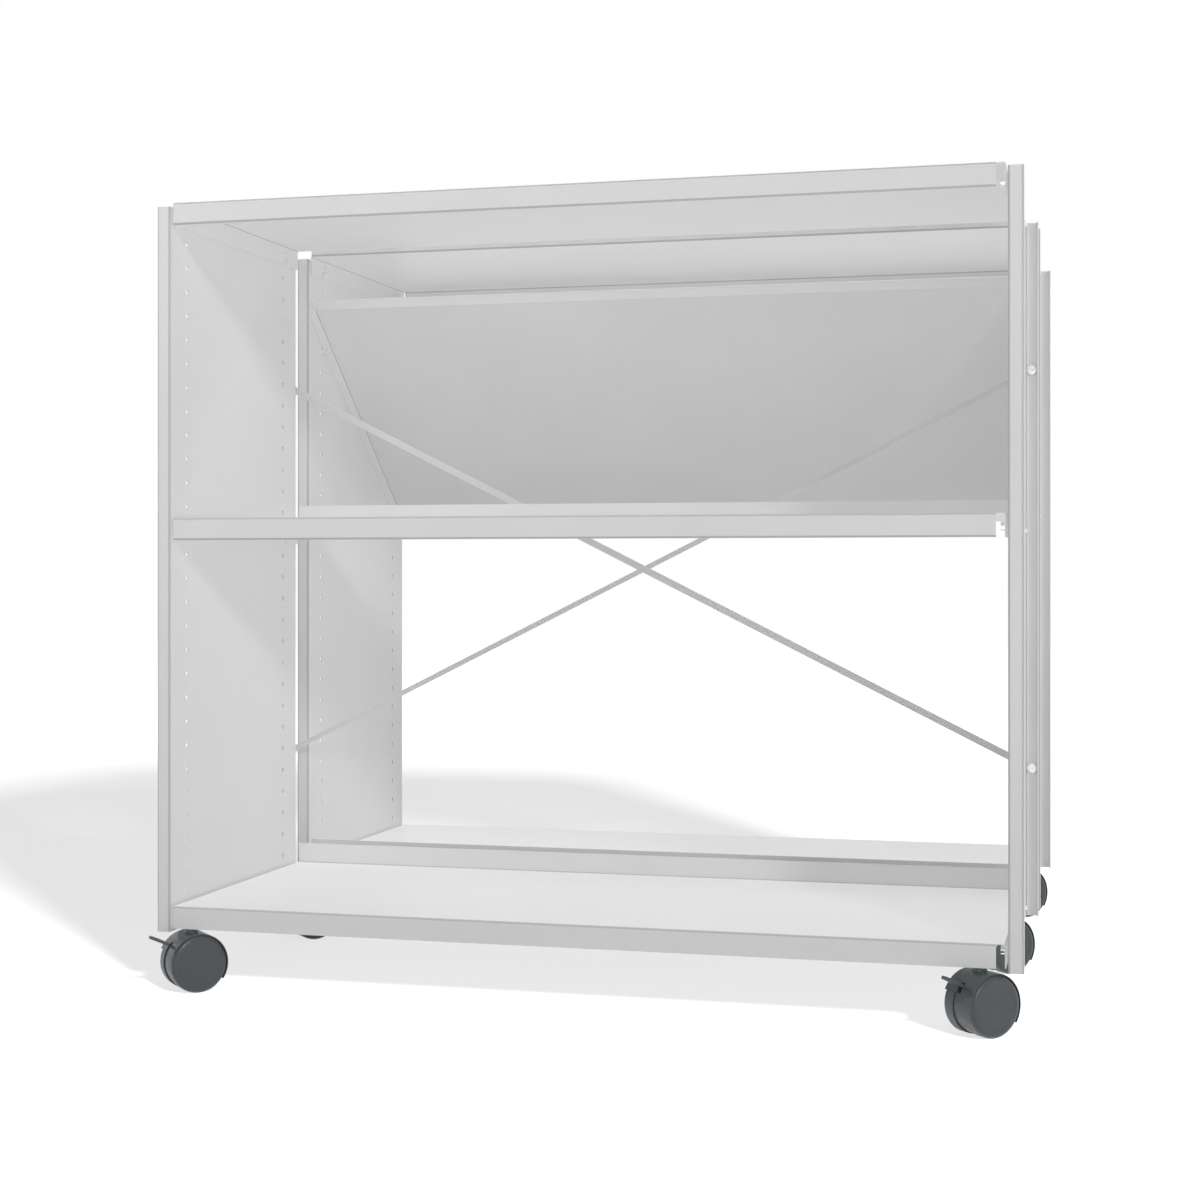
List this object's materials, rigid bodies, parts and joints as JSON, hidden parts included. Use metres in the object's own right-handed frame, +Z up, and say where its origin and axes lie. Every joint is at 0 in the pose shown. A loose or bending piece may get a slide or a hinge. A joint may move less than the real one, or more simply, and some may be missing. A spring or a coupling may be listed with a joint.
{
  "type": "mobile double bookcase",
  "caption": "Steel double bookcase on braked castors: two shelving units back to back, with flat shelves, a sloped display shelf and a diagonal cross brace.",
  "frame": {"origin": "on the floor, under the centre of the plan", "axes": "+X to the right along the shelves, +Y from the front face towards the back face, +Z up"},
  "size_m": [0.877, 0.7429, 0.8345],
  "materials": {
    "grey_paint": "light grey powder coat, fine satin texture",
    "bar_paint": "light grey powder coat on flat steel bar",
    "zinc_steel": "bright zinc-plated steel",
    "castor_plastic": "dark slate moulded plastic, semi-gloss",
    "wheel_plastic": "dark slate moulded plastic, semi-gloss",
    "lever_plastic": "dark slate moulded plastic, satin"
  },
  "bodies": {
    "bookcase": {"brace_bolts": "zinc_steel", "brace_nuts": "zinc_steel", "brace_washers": "zinc_steel", "castor_stem_nuts": "zinc_steel", "castor_stems": "zinc_steel", "front_bottom_shelf": "grey_paint", "front_brace_bar": "bar_paint", "front_castor_brackets": "grey_paint", "front_left_side_panel": "grey_paint", "front_middle_shelf": "grey_paint", "front_right_side_panel": "grey_paint", "front_shelf_pins": "zinc_steel", "front_top_shelf": "grey_paint", "link_bolts": "zinc_steel", "link_nuts": "zinc_steel", "link_spacers": "zinc_steel", "middle_castor_bridges": "grey_paint", "rear_bottom_shelf": "grey_paint", "rear_brace_bar": "bar_paint", "rear_castor_brackets": "grey_paint", "rear_left_side_panel": "grey_paint", "rear_right_side_panel": "grey_paint", "rear_shelf_pins": "zinc_steel", "rear_top_shelf": "grey_paint", "sloped_display_shelf": "grey_paint"},
    "front_left_castor_swivel": {"front_left_castor_housing": "castor_plastic", "front_left_castor_axle": "zinc_steel"},
    "front_left_castor_right_wheel_body": {"front_left_castor_right_wheel": "wheel_plastic"},
    "front_left_castor_left_wheel_body": {"front_left_castor_left_wheel": "wheel_plastic"},
    "front_left_castor_lever_body": {"front_left_castor_brake_lever": "lever_plastic"},
    "front_right_castor_swivel": {"front_right_castor_housing": "castor_plastic", "front_right_castor_axle": "zinc_steel"},
    "front_right_castor_right_wheel_body": {"front_right_castor_right_wheel": "wheel_plastic"},
    "front_right_castor_left_wheel_body": {"front_right_castor_left_wheel": "wheel_plastic"},
    "front_right_castor_lever_body": {"front_right_castor_brake_lever": "lever_plastic"},
    "middle_left_castor_swivel": {"middle_left_castor_housing": "castor_plastic", "middle_left_castor_axle": "zinc_steel"},
    "middle_left_castor_right_wheel_body": {"middle_left_castor_right_wheel": "wheel_plastic"},
    "middle_left_castor_left_wheel_body": {"middle_left_castor_left_wheel": "wheel_plastic"},
    "middle_left_castor_lever_body": {"middle_left_castor_brake_lever": "lever_plastic"},
    "middle_right_castor_swivel": {"middle_right_castor_housing": "castor_plastic", "middle_right_castor_axle": "zinc_steel"},
    "middle_right_castor_right_wheel_body": {"middle_right_castor_right_wheel": "wheel_plastic"},
    "middle_right_castor_left_wheel_body": {"middle_right_castor_left_wheel": "wheel_plastic"},
    "middle_right_castor_lever_body": {"middle_right_castor_brake_lever": "lever_plastic"},
    "rear_left_castor_swivel": {"rear_left_castor_housing": "castor_plastic", "rear_left_castor_axle": "zinc_steel"},
    "rear_left_castor_right_wheel_body": {"rear_left_castor_right_wheel": "wheel_plastic"},
    "rear_left_castor_left_wheel_body": {"rear_left_castor_left_wheel": "wheel_plastic"},
    "rear_left_castor_lever_body": {"rear_left_castor_brake_lever": "lever_plastic"},
    "rear_right_castor_swivel": {"rear_right_castor_housing": "castor_plastic", "rear_right_castor_axle": "zinc_steel"},
    "rear_right_castor_right_wheel_body": {"rear_right_castor_right_wheel": "wheel_plastic"},
    "rear_right_castor_left_wheel_body": {"rear_right_castor_left_wheel": "wheel_plastic"},
    "rear_right_castor_lever_body": {"rear_right_castor_brake_lever": "lever_plastic"}
  },
  "joints": [
    {"name": "front_left_castor_swivel_turn", "type": "hinge", "parent": "bookcase", "child": "front_left_castor_swivel", "pos_m": [-0.4042, -0.33625, 0.0642], "axis": [0, 0, 1], "continuous": true},
    {"name": "front_left_castor_right_wheel_roll", "type": "hinge", "parent": "front_left_castor_swivel", "child": "front_left_castor_right_wheel_body", "pos_m": [-0.40279, -0.33484, 0.0295], "axis": [0.7071, -0.7071, 0], "continuous": true},
    {"name": "front_left_castor_left_wheel_roll", "type": "hinge", "parent": "front_left_castor_swivel", "child": "front_left_castor_left_wheel_body", "pos_m": [-0.40279, -0.33484, 0.0295], "axis": [0.7071, -0.7071, 0], "continuous": true},
    {"name": "front_left_castor_brake_press", "type": "hinge", "parent": "front_left_castor_swivel", "child": "front_left_castor_lever_body", "pos_m": [-0.41516, -0.34721, 0.0454], "axis": [0.7071, -0.7071, 0], "range_deg": [0, 14]},
    {"name": "front_right_castor_swivel_turn", "type": "hinge", "parent": "bookcase", "child": "front_right_castor_swivel", "pos_m": [0.3978, -0.33625, 0.0642], "axis": [0, 0, 1], "continuous": true},
    {"name": "front_right_castor_right_wheel_roll", "type": "hinge", "parent": "front_right_castor_swivel", "child": "front_right_castor_right_wheel_body", "pos_m": [0.39921, -0.33484, 0.0295], "axis": [0.7071, -0.7071, 0], "continuous": true},
    {"name": "front_right_castor_left_wheel_roll", "type": "hinge", "parent": "front_right_castor_swivel", "child": "front_right_castor_left_wheel_body", "pos_m": [0.39921, -0.33484, 0.0295], "axis": [0.7071, -0.7071, 0], "continuous": true},
    {"name": "front_right_castor_brake_press", "type": "hinge", "parent": "front_right_castor_swivel", "child": "front_right_castor_lever_body", "pos_m": [0.38684, -0.34721, 0.0454], "axis": [0.7071, -0.7071, 0], "range_deg": [0, 14]},
    {"name": "middle_left_castor_swivel_turn", "type": "hinge", "parent": "bookcase", "child": "middle_left_castor_swivel", "pos_m": [-0.4042, -0.02775, 0.0642], "axis": [0, 0, 1], "continuous": true},
    {"name": "middle_left_castor_right_wheel_roll", "type": "hinge", "parent": "middle_left_castor_swivel", "child": "middle_left_castor_right_wheel_body", "pos_m": [-0.40279, -0.02634, 0.0295], "axis": [0.7071, -0.7071, 0], "continuous": true},
    {"name": "middle_left_castor_left_wheel_roll", "type": "hinge", "parent": "middle_left_castor_swivel", "child": "middle_left_castor_left_wheel_body", "pos_m": [-0.40279, -0.02634, 0.0295], "axis": [0.7071, -0.7071, 0], "continuous": true},
    {"name": "middle_left_castor_brake_press", "type": "hinge", "parent": "middle_left_castor_swivel", "child": "middle_left_castor_lever_body", "pos_m": [-0.41516, -0.03871, 0.0454], "axis": [0.7071, -0.7071, 0], "range_deg": [0, 14]},
    {"name": "middle_right_castor_swivel_turn", "type": "hinge", "parent": "bookcase", "child": "middle_right_castor_swivel", "pos_m": [0.3978, -0.02775, 0.0642], "axis": [0, 0, 1], "continuous": true},
    {"name": "middle_right_castor_right_wheel_roll", "type": "hinge", "parent": "middle_right_castor_swivel", "child": "middle_right_castor_right_wheel_body", "pos_m": [0.39921, -0.02634, 0.0295], "axis": [0.7071, -0.7071, 0], "continuous": true},
    {"name": "middle_right_castor_left_wheel_roll", "type": "hinge", "parent": "middle_right_castor_swivel", "child": "middle_right_castor_left_wheel_body", "pos_m": [0.39921, -0.02634, 0.0295], "axis": [0.7071, -0.7071, 0], "continuous": true},
    {"name": "middle_right_castor_brake_press", "type": "hinge", "parent": "middle_right_castor_swivel", "child": "middle_right_castor_lever_body", "pos_m": [0.38684, -0.03871, 0.0454], "axis": [0.7071, -0.7071, 0], "range_deg": [0, 14]},
    {"name": "rear_left_castor_swivel_turn", "type": "hinge", "parent": "bookcase", "child": "rear_left_castor_swivel", "pos_m": [-0.4042, 0.33625, 0.0642], "axis": [0, 0, 1], "continuous": true},
    {"name": "rear_left_castor_right_wheel_roll", "type": "hinge", "parent": "rear_left_castor_swivel", "child": "rear_left_castor_right_wheel_body", "pos_m": [-0.40279, 0.33766, 0.0295], "axis": [0.7071, -0.7071, 0], "continuous": true},
    {"name": "rear_left_castor_left_wheel_roll", "type": "hinge", "parent": "rear_left_castor_swivel", "child": "rear_left_castor_left_wheel_body", "pos_m": [-0.40279, 0.33766, 0.0295], "axis": [0.7071, -0.7071, 0], "continuous": true},
    {"name": "rear_left_castor_brake_press", "type": "hinge", "parent": "rear_left_castor_swivel", "child": "rear_left_castor_lever_body", "pos_m": [-0.41516, 0.32529, 0.0454], "axis": [0.7071, -0.7071, 0], "range_deg": [0, 14]},
    {"name": "rear_right_castor_swivel_turn", "type": "hinge", "parent": "bookcase", "child": "rear_right_castor_swivel", "pos_m": [0.3978, 0.33625, 0.0642], "axis": [0, 0, 1], "continuous": true},
    {"name": "rear_right_castor_right_wheel_roll", "type": "hinge", "parent": "rear_right_castor_swivel", "child": "rear_right_castor_right_wheel_body", "pos_m": [0.39921, 0.33766, 0.0295], "axis": [0.7071, -0.7071, 0], "continuous": true},
    {"name": "rear_right_castor_left_wheel_roll", "type": "hinge", "parent": "rear_right_castor_swivel", "child": "rear_right_castor_left_wheel_body", "pos_m": [0.39921, 0.33766, 0.0295], "axis": [0.7071, -0.7071, 0], "continuous": true},
    {"name": "rear_right_castor_brake_press", "type": "hinge", "parent": "rear_right_castor_swivel", "child": "rear_right_castor_lever_body", "pos_m": [0.38684, 0.32529, 0.0454], "axis": [0.7071, -0.7071, 0], "range_deg": [0, 14]}
  ]
}
